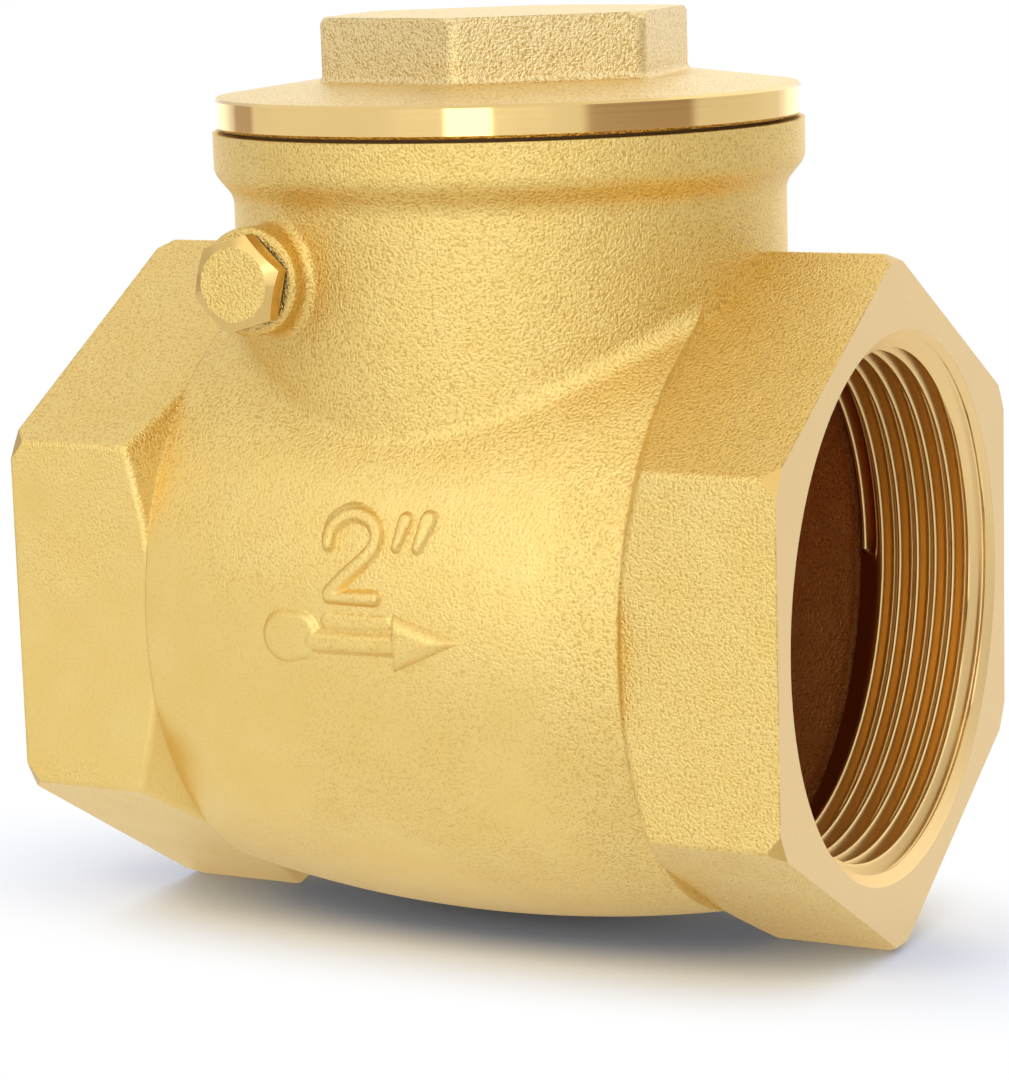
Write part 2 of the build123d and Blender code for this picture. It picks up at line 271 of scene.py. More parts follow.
@dataclass(frozen=True)
class CastBrass(Finish):
    """Sand-cast brass, fine-blasted: a satin skin of soft pits that breaks up every reflection."""

    name: str = "Sand-cast brass, fine-blasted"
    colour: str = "#ECD087"
    deep_colour: str = "#E7C571"
    # Painted shade: the colour given to the pits of the grit.
    pit_shade_colour: str = "#D2AE61"
    grit_mm: float = 0.32
    grit_depth_mm: float = 0.22
    grit_roughness: float = 0.6
    pit_floor: float = 0.36
    pit_rim: float = 0.50
    swell_mm: float = 5.0
    swell_depth_mm: float = 0.10
    patch_mm: float = 22.0
    smooth_patch_by: float = 0.42
    rough_patch_from: float = 0.58
    smooth_patch_grit: float = 0.2
    rough_patch_grit: float = 0.6
    rough_from_height_mm: float = 9.0
    rough_by_height_mm: float = 24.0
    rough_from_x_mm: float = 56.0
    rough_by_x_mm: float = 70.0
    low_roughness: float = 0.34
    high_roughness: float = 0.46
    edge_round_mm: float = 0.45
    edge_samples: int = 2

    def make(self) -> bpy.types.Material:
        """Builds the material: grit with painted shade in its pits over a slow swell, with softly
        rounded edges.
        """
        material, tree, shader = blank(self.name)
        place = place_on(tree)
        strength = self.grit_strength(tree, place)
        grit = noise(tree, place, self.grit_mm, roughness=self.grit_roughness)
        swell = noise(tree, place, self.swell_mm)
        edges = add(
            tree,
            "ShaderNodeBevel",
            {"samples": self.edge_samples},
            {"Radius": self.edge_round_mm * MM},
        )
        slow = bump(tree, swell, self.swell_depth_mm, Normal=edges.outputs["Normal"])
        fine = bump(tree, grit, self.grit_depth_mm, Strength=strength, Normal=slow)
        skin = mix(tree, swell, linear(self.deep_colour), linear(self.colour))
        # Painted shade: the grit's pits are coloured darker, most where the grit is strong.
        pits = ramp(tree, grit, self.pit_floor, self.pit_rim, 1.0, 0.0, smooth=True)
        colour = mix(tree, times(tree, pits, strength), skin, linear(self.pit_shade_colour))
        roughness = spread(tree, grit, self.low_roughness, self.high_roughness)
        add_links(tree, shader, colour, roughness, fine)
        shader.inputs["Metallic"].default_value = 1.0
        return material

    def grit_strength(self, tree: Tree, place: Socket) -> Socket:
        """How strong the grit is: in patches on the barrel, and full up the neck and by the outlet.

        Args:
            tree: the material's node tree.
            place: the place on the surface.

        Returns:
            A share from 0 to 1.
        """
        strength = ramp(
            tree,
            noise(tree, place, self.patch_mm),
            self.smooth_patch_by,
            self.rough_patch_from,
            self.smooth_patch_grit,
            self.rough_patch_grit,
            smooth=True,
        )
        parts = parts_of(tree, place)
        for axis, start, end in (
            ("Z", self.rough_from_height_mm, self.rough_by_height_mm),
            ("X", self.rough_from_x_mm, self.rough_by_x_mm),
        ):
            rise = ramp(tree, parts[axis], start * MM, end * MM, smooth=True)
            strength = maths(tree, "MAXIMUM", strength, rise)
        return strength


class Lay(Enum):
    """Which way a cutting tool's marks run."""

    RINGS_ABOUT_PIPE = "rings about the pipe axis"
    LINES_ROUND_NECK = "lines round the neck axis"


@dataclass(frozen=True)
class TurnedBrass(Finish):
    """Machined brass: paler than the cast skin, with fine marks along the tool's path."""

    name: str = "Brass, turned"
    colour: str = "#E9CA8F"
    worn_colour: str = "#E3C285"
    roughness: float = 0.30
    lay: Lay = Lay.RINGS_ABOUT_PIPE
    mark_mm: float = 0.22
    mark_depth_mm: float = 0.004
    cloud_mm: float = 9.0
    cloud_detail: float = 3.0
    cloud_share: float = 0.15

    def make(self) -> bpy.types.Material:
        """Builds the material: tool marks along one coordinate, and faint clouds of handling."""
        material, tree, shader = blank(self.name)
        place = place_on(tree)
        parts = parts_of(tree, place)
        along = pipe_radius(tree, parts) if self.lay is Lay.RINGS_ABOUT_PIPE else parts["Z"]
        marks = bump(tree, stripes(tree, along, self.mark_mm), self.mark_depth_mm)
        clouds = noise(tree, place, self.cloud_mm, self.cloud_detail)
        colour = mix(tree, clouds, linear(self.worn_colour), linear(self.colour))
        low, high = 1 - self.cloud_share, 1 + self.cloud_share
        roughness = spread(tree, clouds, self.roughness * low, self.roughness * high)
        add_links(tree, shader, colour, roughness, marks)
        shader.inputs["Metallic"].default_value = 1.0
        return material


@dataclass(frozen=True)
class TappedBrass(Finish):
    """Tapped thread: bright brass, with painted shade that turns the roots of its last turn brown,
    deep in the port.
    """

    name: str = "Brass, tapped thread"
    crest_colour: str = "#EDCD90"
    root_colour: str = "#F1CE8B"
    painted_port_shade_colour: str = "#B8743C"
    crest_radius_mm: float = 28.35
    root_radius_mm: float = 29.4
    mouth_from_mm: float = 44.4
    mouth_by_mm: float = 45.2
    painted_port_shade_from_mm: float = 33.6
    painted_port_shade_by_mm: float = 31.8
    roughness: float = 0.42
    brushing: float = 0.85
    drag_mm: float = 0.5
    drag_share: float = 0.1

    def make(self) -> bpy.types.Material:
        """Builds the material: colour by depth in the thread, and a gloss drawn out by the tap."""
        material, tree, shader = blank(self.name)
        parts = parts_of(tree, place_on(tree))
        radius = pipe_radius(tree, parts)
        depth = ramp(tree, radius, self.crest_radius_mm * MM, self.root_radius_mm * MM)
        outward = maths(tree, "ABSOLUTE", maths(tree, "SUBTRACT", parts["X"], NECK_X * MM))
        inside = ramp(tree, outward, self.mouth_from_mm * MM, self.mouth_by_mm * MM, 1.0, 0.0)
        # Painted shade: the roots darken to brown towards the thread's far end, deep in the port.
        painted_port_shade = ramp(
            tree, outward, self.painted_port_shade_by_mm * MM, self.painted_port_shade_from_mm * MM, 1.0, 0.0
        )
        root = mix(tree, painted_port_shade, linear(self.root_colour), linear(self.painted_port_shade_colour))
        colour = mix(tree, times(tree, depth, inside), linear(self.crest_colour), root)
        drag = stripes(tree, parts["X"], self.drag_mm)
        low, high = 1 - self.drag_share, 1 + self.drag_share
        roughness = spread(tree, drag, self.roughness * low, self.roughness * high)
        add_links(tree, shader, colour, roughness, None)
        round_pipe = add(tree, "ShaderNodeTangent", {"direction_type": "RADIAL", "axis": "X"})
        tree.links.new(round_pipe.outputs["Tangent"], shader.inputs["Tangent"])
        shader.inputs["Anisotropic"].default_value = self.brushing
        shader.inputs["Metallic"].default_value = 1.0
        return material


@dataclass(frozen=True)
class Rubber(Finish):
    """Moulded rubber or pressed fibre: dark and matt, with a faint bloom."""

    name: str = "Nitrile rubber, moulded"
    colour: str = "#1C1C1D"
    bloom_colour: str = "#2B2B2C"
    roughness: float = 0.62
    ior: float = 1.52
    bloom_mm: float = 4.0
    pore_mm: float = 0.35
    pore_depth_mm: float = 0.02

    def make(self) -> bpy.types.Material:
        """Builds the material: slow bloom in the colour and fine pores in the bump."""
        material, tree, shader = blank(self.name)
        place = place_on(tree)
        bloom = noise(tree, place, self.bloom_mm)
        colour = mix(tree, bloom, linear(self.colour), linear(self.bloom_colour))
        pores = bump(tree, noise(tree, place, self.pore_mm), self.pore_depth_mm)
        add_links(tree, shader, colour, None, pores)
        shader.inputs["Roughness"].default_value = self.roughness
        shader.inputs["IOR"].default_value = self.ior
        return material


@dataclass(frozen=True)
class DrawnSteel(Finish):
    """Drawn stainless rod and wire: grey, bright, with faint lines along its length."""

    name: str = "Stainless steel, drawn"
    colour: str = "#B9B9B6"
    line_mm: float = 0.12
    line_depth_mm: float = 0.004
    low_roughness: float = 0.18
    high_roughness: float = 0.36

    def make(self) -> bpy.types.Material:
        """Builds the material: roughness that follows fine drawing lines."""
        material, tree, shader = blank(self.name)
        parts = parts_of(tree, place_on(tree))
        across = add(tree, "ShaderNodeCombineXYZ", {}, {"X": parts["X"], "Y": parts["Z"]})
        lines = noise(tree, across.outputs["Vector"], self.line_mm)
        roughness = ramp(tree, lines, 0.0, 1.0, self.low_roughness, self.high_roughness)
        add_links(tree, shader, None, roughness, bump(tree, lines, self.line_depth_mm))
        shader.inputs["Base Color"].default_value = linear(self.colour)
        shader.inputs["Metallic"].default_value = 1.0
        return material


# The cast skin outside, and the same skin inside: rougher where flow and casting sand have left it
# duller, and darker and redder with painted shade from the enclosing walls.
CAST = CastBrass()
SHADED_INNER_CAST = CastBrass(
    name="Sand-cast brass, inside wall, painted shade",
    colour="#E2A05A",
    deep_colour="#CE8848",
    pit_shade_colour="#BE7A40",
    low_roughness=0.45,
    high_roughness=0.6,
)
# The cap is a paler casting than the body.
CAP_CAST = CastBrass(
    name="Sand-cast brass, pale", colour="#F0DBA8", deep_colour="#EBD195", pit_shade_colour="#CFB070"
)
FACED = TurnedBrass()
# Faced corners of the hexagons: the same cut, a little deeper in tone.
CORNER_TURNED = TurnedBrass(
    name="Brass, turned corner", colour="#CDAE6C", worn_colour="#C29F59", roughness=0.34
)
# The cap's edge is turned fast with a sharp tool, which leaves it close to a mirror.
POLISHED_EDGE = TurnedBrass(
    name="Brass, polished edge",
    colour="#E9C988",
    worn_colour="#E4C37F",
    roughness=0.07,
    lay=Lay.LINES_ROUND_NECK,
    mark_mm=0.35,
    mark_depth_mm=0.0015,
)
# The plug is turned from bar, so it is smoother and yellower than the casting.
BAR_TURNED = TurnedBrass(
    name="Brass bar, turned",
    colour="#DBBB79",
    worn_colour="#D1AC63",
    roughness=0.2,
    lay=Lay.LINES_ROUND_NECK,
    mark_mm=0.3,
    mark_depth_mm=0.003,
)
TAPPED = TappedBrass()
RUBBER = Rubber()
FIBRE = Rubber(
    name="Pressed fibre gasket", colour="#7C5F38", bloom_colour="#8C6D42", roughness=0.6
)
SEALING = Rubber(
    name="Soft sealing washer", colour="#2E2013", bloom_colour="#3D2C1B", roughness=0.7
)
STEEL = DrawnSteel()


def dress(node: str, *finishes: Finish) -> bpy.types.Mesh:
    """Gives a CAD node its finishes as material slots.

    Args:
        node: the CAD node's name.
        finishes: one finish for each slot, the first for every face.

    Returns:
        The node's mesh, ready for its faces to be given slots.
    """
    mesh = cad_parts[node].data
    mesh.materials.clear()
    for finish in finishes:
        mesh.materials.append(finish.material())
    mesh.polygons.foreach_set("material_index", [0] * len(mesh.polygons))
    return mesh


def smooth_mesh(name: str, bm: bmesh.types.BMesh, finish: Finish) -> bpy.types.Mesh:
    """Turns a worked shape into a smooth mesh with one finish.

    Args:
        name: the mesh's name.
        bm: the shape, which is freed.
        finish: the finish of all its faces.

    Returns:
        The mesh.
    """
    mesh = bpy.data.meshes.new(name)
    bm.to_mesh(mesh)
    bm.free()
    mesh.polygons.foreach_set("use_smooth", [True] * len(mesh.polygons))
    mesh.materials.append(finish.material())
    return mesh


def new_piece(name: str, mesh: bpy.types.Mesh, body: str) -> bpy.types.Object:
    """Puts a finished mesh into the scene as a piece that rides on a body.

    Args:
        name: the piece's name.
        mesh: its mesh, in place.
        body: the CAD body that it moves with.

    Returns:
        The piece.
    """
    piece = bpy.data.objects.new(name, mesh)
    bpy.context.scene.collection.objects.link(piece)
    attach(piece, body)
    log.info("%s: %d faces", name, len(mesh.polygons))
    return piece


class Port(Enum):
    """The two pipe ends."""

    INLET = "inlet"
    OUTLET = "outlet"


@dataclass
class PipeThread:
    """Internal 2 in taper pipe thread, 11.5 threads to the inch, cut straight into one port without
    its taper.

    Lengths are in millimetres, and depths run inwards from where the thread starts.
    """

    port: Port
    pitch: float = 25.4 / 11.5
    crest_radius: float = 28.3
    root_radius: float = 30.0
    mouth_radius: float = 30.68
    sleeve_radius: float = 30.74
    depth: float = 14.15
    crest_flat: float = 0.16
    root_flat: float = 0.12
    rounded_share: float = 0.25
    first_crest: float = 0.915
    last_crest: float = 13.06
    turns: int = 12
    turns_outside: int = 3
    columns: int = 180
    flank_steps: int = 9
    seam_gap: float = 0.001
    smallest_gap: float = 0.004
    thinnest_face: float = 0.002
    sharp_degrees: float = 42.0

    def section(self) -> list[tuple[float, float]]:
        """Thread section along the bore.

        Returns:
            Points of distance into the port and radius, several on each flank.
        """
        flank = (self.pitch - self.crest_flat - self.root_flat) / 2
        points = []
        start = self.first_crest - self.crest_flat / 2 - self.turns_outside * self.pitch
        for turn in range(self.turns):
            left = start + turn * self.pitch
            points += [(left, self.crest_radius), (left + self.crest_flat / 2, self.crest_radius)]
            for step in range(self.flank_steps + 1):
                share = step / self.flank_steps
                points.append((left + self.crest_flat + flank * share, self.at(share)))
            for step in range(self.flank_steps):
                share = 1 - step / self.flank_steps
                points.append((left + self.pitch - flank * share, self.at(share)))
        return points

    def at(self, share: float) -> float:
        """Radius at a share of the flank, rounded off at its crest and its root."""
        blend = self.rounded_share
        if share < blend:
            fall = share**2 / (2 * blend)
        elif share > 1 - blend:
            fall = 1 - blend - (1 - share) ** 2 / (2 * blend)
        else:
            fall = share - blend / 2
        return self.crest_radius + (self.root_radius - self.crest_radius) * fall / (1 - blend)

    def build(self) -> bpy.types.Object:
        """Winds the section once round the bore, one pitch on, and closes it with a sleeve behind.

        Returns:
            The thread as a piece on the body.
        """
        bm = bmesh.new()
        verts = [bm.verts.new((x, radius, 0.0)) for x, radius in self.section()]
        for before, after in zip(verts, verts[1:]):
            bm.edges.new((before, after))
        bmesh.ops.spin(
            bm,
            geom=[*bm.verts, *bm.edges],
            cent=(0, 0, 0),
            axis=(1, 0, 0),
            dvec=(self.pitch / self.columns, 0, 0),
            angle=math.tau,
            steps=self.columns,
            use_merge=False,
        )
        bmesh.ops.remove_doubles(bm, verts=bm.verts, dist=self.seam_gap)
        for vert in bm.verts:
            self.cut(vert)
        bmesh.ops.remove_doubles(bm, verts=bm.verts, dist=self.smallest_gap)
        bmesh.ops.dissolve_degenerate(bm, dist=self.thinnest_face, edges=bm.edges)
        self.close(bm)
        bmesh.ops.recalc_face_normals(bm, faces=bm.faces)
        bmesh.ops.transform(bm, matrix=self.place(), verts=bm.verts)
        mesh = smooth_mesh(f"{self.port.value}_thread", bm, TAPPED)
        mesh.set_sharp_from_angle(angle=math.radians(self.sharp_degrees))
        return new_piece(f"{self.port.value}_thread", mesh, "body")

    def cut(self, vert: bmesh.types.BMVert) -> None:
        """Trims one point of the winding: the blunt last crest, the mouth chamfer and the ends.

        Args:
            vert: the point, moved in place.
        """
        x, y, z = vert.co
        radius = math.hypot(y, z)
        turned = math.atan2(z, y) / math.tau
        along = (x - self.first_crest) / self.pitch - turned
        offset = along - math.floor(along + 0.5)
        crest_x = x - offset * self.pitch
        if crest_x > self.last_crest:
            radius = self.root_radius
        x = min(max(x, self.crest_radius - self.mouth_radius), self.depth)
        radius = max(radius, self.crest_radius - x)
        vert.co = (x, y * radius / math.hypot(y, z), z * radius / math.hypot(y, z))

    def close(self, bm: bmesh.types.BMesh) -> None:
        """Closes the inner surface with a sleeve at its back.

        Args:
            bm: the wound surface, with an open rim at each end.
        """
        rims = [edge for edge in bm.edges if edge.is_boundary]
        out = bmesh.ops.extrude_edge_only(bm, edges=rims)
        moved = [part for part in out["geom"] if isinstance(part, bmesh.types.BMVert)]
        for vert in moved:
            factor = self.sleeve_radius / math.hypot(vert.co.y, vert.co.z)
            vert.co = (vert.co.x, vert.co.y * factor, vert.co.z * factor)
        rims = [edge for edge in bm.edges if edge.is_boundary]
        bmesh.ops.bridge_loops(bm, edges=rims)

    def place(self) -> Matrix:
        """Puts the thread at its port: turned about, not mirrored, so both stay right-handed."""
        to_metres = Matrix.Scale(MM, 4)
        if self.port is Port.INLET:
            return to_metres
        half_turn = Matrix.Rotation(math.pi, 4, "Z")
        return to_metres @ Matrix.Translation((2 * NECK_X, 0, 0)) @ half_turn


class BodyFace(Enum):
    """How a face of the body is finished. The value is its material slot."""

    CAST = 0
    FACED = 1
    CORNER = 2
    INSIDE = 3


@dataclass
class BodyCasting:
    """The valve's body: one casting, machined at its pipe ends and inside its seat.

    Lengths are in millimetres, and depths run inwards from where a port's thread starts.
    """

    crest_radius: float = 28.3
    wall_slack: float = 0.03
    sleeve_room_radius: float = 31.0
    thread_depth: float = 14.2
    mouth_depth: float = 2.39
    mouth_radius: float = 30.75
    end_face_depth: float = -2.35
    corner_depth: float = -0.5
    corner_radius: float = 36.0
    chamber_radius: float = 34.2
    neck_bore_radius: float = 28.6
    neck_inner_radius: float = 27.4
    merge_gap: float = 0.002

    def build(self) -> bpy.types.Object:
        """Copies the casting, opens its ports for the cut threads, and gives each face its finish.

        Returns:
            The casting as a piece on the body.
        """
        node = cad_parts["valve_body"]
        mesh = node.data.copy()
        mesh.name = "body_casting"
        self.keep_normals(mesh)
        mesh.materials.clear()
        for finish in (CAST, FACED, CORNER_TURNED, SHADED_INNER_CAST):
            mesh.materials.append(finish.material())
        bm = bmesh.new()
        bm.from_mesh(mesh)
        bmesh.ops.remove_doubles(bm, verts=bm.verts, dist=self.merge_gap * MM)
        for vert in bm.verts:
            self.open_port(vert)
        for face in bm.faces:
            face.material_index = self.finish_of(face).value
            face.smooth = True
        bm.to_mesh(mesh)
        bm.free()
        self.restore_normals(mesh)
        piece = new_piece("body_casting", mesh, "body")
        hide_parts("valve_body")
        return piece

    def keep_normals(self, mesh: bpy.types.Mesh) -> None:
        """Writes the casting's exact corner normals into an attribute, which survives the merging.

        Args:
            mesh: the copied mesh.
        """
        kept = mesh.attributes.new("exact_normal", "FLOAT_VECTOR", "CORNER")
        values = [0.0] * (3 * len(mesh.corner_normals))
        mesh.corner_normals.foreach_get("vector", values)
        kept.data.foreach_set("vector", values)

    def restore_normals(self, mesh: bpy.types.Mesh) -> None:
        """Sets the kept corner normals again.

        Args:
            mesh: the merged mesh.
        """
        kept = mesh.attributes["exact_normal"]
        normals = [Vector(item.vector) for item in kept.data]
        mesh.attributes.remove(kept)
        mesh.normals_split_custom_set(normals)

    def port_depth(self, x: float) -> float:
        """Distance into the nearer port from where its thread starts."""
        return min(x, 2 * NECK_X - x)

    def open_port(self, vert: bmesh.types.BMVert) -> None:
        """Moves a point of a port's wall out to the back of the thread that fills it.

        Args:
            vert: the point, moved in place.
        """
        x, y, z = (c / MM for c in vert.co)
        radius = math.hypot(y, z)
        depth = self.port_depth(x)
        wall = self.crest_radius - min(depth, 0.0)
        in_port = -self.mouth_depth < depth < self.thread_depth + 0.01
        if abs(radius - wall) > self.wall_slack or not in_port:
            return
        factor = self.sleeve_room_radius / radius
        vert.co = (x * MM, y * factor * MM, z * factor * MM)

    def finish_of(self, face: bmesh.types.BMFace) -> BodyFace:
        """Chooses a face's finish from where it is and which way it looks.

        Args:
            face: a face of the casting.

        Returns:
            How the face is finished.
        """
        x, y, z = (c / MM for c in face.calc_center_median())
        radius = math.hypot(y, z)
        depth = self.port_depth(x)
        normal = face.normal
        along_pipe = abs(normal.x)
        if depth < self.end_face_depth and along_pipe > 0.99:
            return BodyFace.FACED
        if radius < self.mouth_radius and depth < self.thread_depth + 0.05:
            return BodyFace.FACED
        if depth < self.corner_depth and 0.2 < along_pipe < 0.95 and radius > self.corner_radius:
            return BodyFace.CORNER
        to_pipe = normal.y * y + normal.z * z < 0
        if radius < self.chamber_radius and (to_pipe or along_pipe > 0.9) and depth > 0:
            return BodyFace.INSIDE
        to_neck = normal.x * (x - NECK_X) + normal.y * y < 0
        neck_radius = math.hypot(x - NECK_X, y)
        in_neck = z > 0 and neck_radius < self.neck_bore_radius
        if in_neck and (to_neck or neck_radius < self.neck_inner_radius):
            return BodyFace.INSIDE
        return BodyFace.CAST


@dataclass(frozen=True)
class Stroke:
    """One raised stroke of a cast mark: a line along the pipe and up the barrel, in mm."""

    points: tuple[tuple[float, float], ...]
    start_width: float
    end_width: float
    height: float
    shoulder: float

    def rise(self, x: float, z: float) -> float:
        """Height of the stroke over the skin at one place.

        Args:
            x: place along the pipe.
            z: place up the barrel.

        Returns:
            The height in millimetres, 0 beyond its shoulder.
        """
        best = 0.0
        count = len(self.points) - 1
        for i in range(count):
            (ax, az), (bx, bz) = self.points[i], self.points[i + 1]
            dx, dz = bx - ax, bz - az
            share = min(max(((x - ax) * dx + (z - az) * dz) / (dx * dx + dz * dz), 0.0), 1.0)
            distance = math.hypot(x - ax - share * dx, z - az - share * dz)
            width = self.start_width + (self.end_width - self.start_width) * (i + share) / count
            level = min(max((width / 2 - distance) / self.shoulder, 0.0), 1.0)
            best = max(best, self.height * level * level * (3 - 2 * level))
        return best


@dataclass(frozen=True)
class ArrowHead:
    """The flow arrow's head: a low three-sided pyramid with a ridge to its tip, in millimetres."""

    base_x: float = 48.2
    tip_x: float = 56.1
    top: float = 3.8
    bottom: float = -2.6
    ridge: float = 1.05
    height: float = 1.0
    side_slope: float = 1.5
    back_slope: float = 0.55

    def rise(self, x: float, z: float) -> float:
        """Height of the head over the skin at one place.

        Args:
            x: place along the pipe.
            z: place up the barrel.

        Returns:
            The height in millimetres.
        """
        share = (x - self.base_x) / (self.tip_x - self.base_x)
        if not 0 <= share <= 1:
            return 0.0
        side = self.top - self.ridge if z > self.ridge else self.ridge - self.bottom
        edge = side * (1 - share) - abs(z - self.ridge)
        back = x - self.base_x
        level = min(max(min(edge / self.side_slope, back / self.back_slope), 0.0), 1.0)
        return self.height * level * (2 - level)


def curved(points: list[tuple[float, float]], steps: int = 8) -> tuple[tuple[float, float], ...]:
    """Smooth line through a few points.

    Args:
        points: the places that the line passes.
        steps: how many pieces each stretch is divided into.

    Returns:
        The points of the smooth line.
    """
    ends = [points[0], *points, points[-1]]
    line = []
    for i in range(1, len(ends) - 2):
        p0, p1, p2, p3 = ends[i - 1 : i + 3]
        for step in range(steps):
            t = step / steps
            line.append(
                tuple(
                    0.5 * (2 * b + (c - a) * t + (2 * a - 5 * b + 4 * c - d) * t * t
                           + (3 * b - a - 3 * c + d) * t**3)
                    for a, b, c, d in zip(p0, p1, p2, p3)
                )
            )
    line.append(points[-1])
    return tuple(line)


@dataclass
class CastMarks:
    """Raised marks on the barrel's side: the pipe size in inches, and an arrow along the flow."""

    head: ArrowHead = ArrowHead()
    barrel_middle: float = 37.8
    barrel_end: float = 34.95
    barrel_half_length: float = 28.98
    grid_mm: float = 0.13
    sink_mm: float = 0.06
    thickness_mm: float = 0.5
    low_x: float = 30.6
    high_x: float = 57.0
    low_z: float = -4.0
    high_z: float = 15.8

    def strokes(self) -> list[Stroke]:
        """The marks' strokes, as the mould maker cut them.

        Returns:
            Strokes of the figure, the two inch strokes, the arrow's shaft with the ledge above it,
            and its tail.
        """
        figure = curved(
            [(39.95, 10.6), (40.35, 12.4), (42.3, 13.75), (44.6, 13.4), (45.75, 11.9),
             (45.4, 10.3), (43.95, 8.8), (42.1, 7.15), (40.5, 5.5)]
        )
        crown = curved([(39.7, 10.9), (40.1, 13.1), (42.3, 14.35), (44.2, 13.9)])
        # After each line: its width at the start and the end, its height, and its shoulder.
        return [
            Stroke(figure, 2.0, 2.2, 0.8, 0.7),
            Stroke(crown, 1.9, 1.9, 0.5, 0.9),
            Stroke(((40.4, 5.15), (46.0, 5.25)), 1.9, 2.1, 0.8, 0.7),
            Stroke(((48.95, 13.4), (48.2, 10.7)), 2.2, 1.6, 0.7, 0.65),
            Stroke(((51.65, 13.6), (50.7, 10.7)), 2.4, 1.7, 0.7, 0.65),
            Stroke(((38.6, 0.3), (48.2, 0.5)), 3.2, 3.2, 0.85, 1.1),
            Stroke(((40.3, 2.5), (47.4, 2.6)), 2.2, 2.0, 0.3, 0.5),
            Stroke(((34.9, 0.55), (36.6, 0.75)), 6.3, 5.9, 0.65, 0.9),
        ]

    def barrel_radius(self, x: float) -> float:
        """Radius of the barrel's side at a place along the pipe."""
        rise = self.barrel_middle - self.barrel_end
        arc = (self.barrel_half_length**2 + rise**2) / (2 * rise)
        return self.barrel_middle - arc + math.sqrt(arc**2 - (x - NECK_X) ** 2)

    def build(self) -> bpy.types.Object:
        """Raises the marks out of a fine grid, drops the bare skin, and lays them on the barrel.

        Returns:
            The marks as a piece on the body.
        """
        marks = [self.head, *self.strokes()]
        width, height = self.high_x - self.low_x, self.high_z - self.low_z
        middle = Vector(((self.low_x + self.high_x) / 2, (self.low_z + self.high_z) / 2))
        columns, rows = round(width / self.grid_mm), round(height / self.grid_mm)
        bm = bmesh.new()
        bmesh.ops.create_grid(bm, x_segments=columns, y_segments=rows, size=0.5)
        for vert in bm.verts:
            x, z = middle.x + vert.co.x * width, middle.y + vert.co.y * height
            vert.co = (x, z, max(mark.rise(x, z) for mark in marks))
        bare = [face for face in bm.faces if all(v.co.z <= 0 for v in face.verts)]
        bmesh.ops.delete(bm, geom=bare, context="FACES")
        bmesh.ops.recalc_face_normals(bm, faces=bm.faces)
        if sum(face.normal.z for face in bm.faces) < 0:
            bmesh.ops.reverse_faces(bm, faces=bm.faces)
        bmesh.ops.solidify(bm, geom=bm.faces, thickness=self.thickness_mm)
        for vert in bm.verts:
            x, z, rise = vert.co
            radius = self.barrel_radius(x)
            out = radius + rise - self.sink_mm
            up = math.asin(z / radius)
            vert.co = Vector((x, -out * math.cos(up), out * math.sin(up))) * MM
        bmesh.ops.recalc_face_normals(bm, faces=bm.faces)
        return new_piece("cast_marks", smooth_mesh("cast_marks", bm, CAST), "body")


@dataclass
class Bonnet:
    """The screwed cap, turned bright round its flange's edge, and its gasket."""

    bright_from_radius: float = 32.75
    flange_low: float = 53.39
    flange_high: float = 56.91

    def dress(self) -> None:
        """Gives the cap its cast skin and polished edge, and the gasket its fibre."""
        mesh = dress("bonnet_cap", CAP_CAST, POLISHED_EDGE)
        for face in mesh.polygons:
            x, y, z = (c / MM for c in face.center)
            at_rim = math.hypot(x - NECK_X, y) > self.bright_from_radius
            upright = abs(face.normal.z) < 0.9
            if at_rim and upright and self.flange_low < z < self.flange_high:
                face.material_index = 1
        dress("cap_gasket", FIBRE)
        log.info("bonnet dressed")


@dataclass
class PinPlug:
    """Hinge pin, the plug that closes its hole, and the washer under the plug."""

    def dress(self) -> None:
        """Gives the plug bright flats and a rough end, and dresses the pin and washer."""
        mesh = dress("hinge_pin_plug", BAR_TURNED, CAST)
        for face in mesh.polygons:
            if face.normal.y < -0.999:
                face.material_index = 1
        dress("hinge_pin", STEEL)
        dress("plug_washer", SEALING)
        log.info("pin and plug dressed")


@dataclass
class DiscAssembly:
    """The hinged disc: its holder, rubber facing and fasteners, and the hanger that carries it."""

    def dress(self) -> None:
        """Dresses each part of the disc and its hanger."""
        dress("disc_hanger", CAST)
        dress("disc_holder", FACED)
        dress("seat_facing", RUBBER)
        for node in ("facing_plate", "facing_screw", "hanger_washer", "hanger_nut"):
            dress(node, BAR_TURNED)
        dress("split_pin", STEEL)
        log.info("disc dressed")


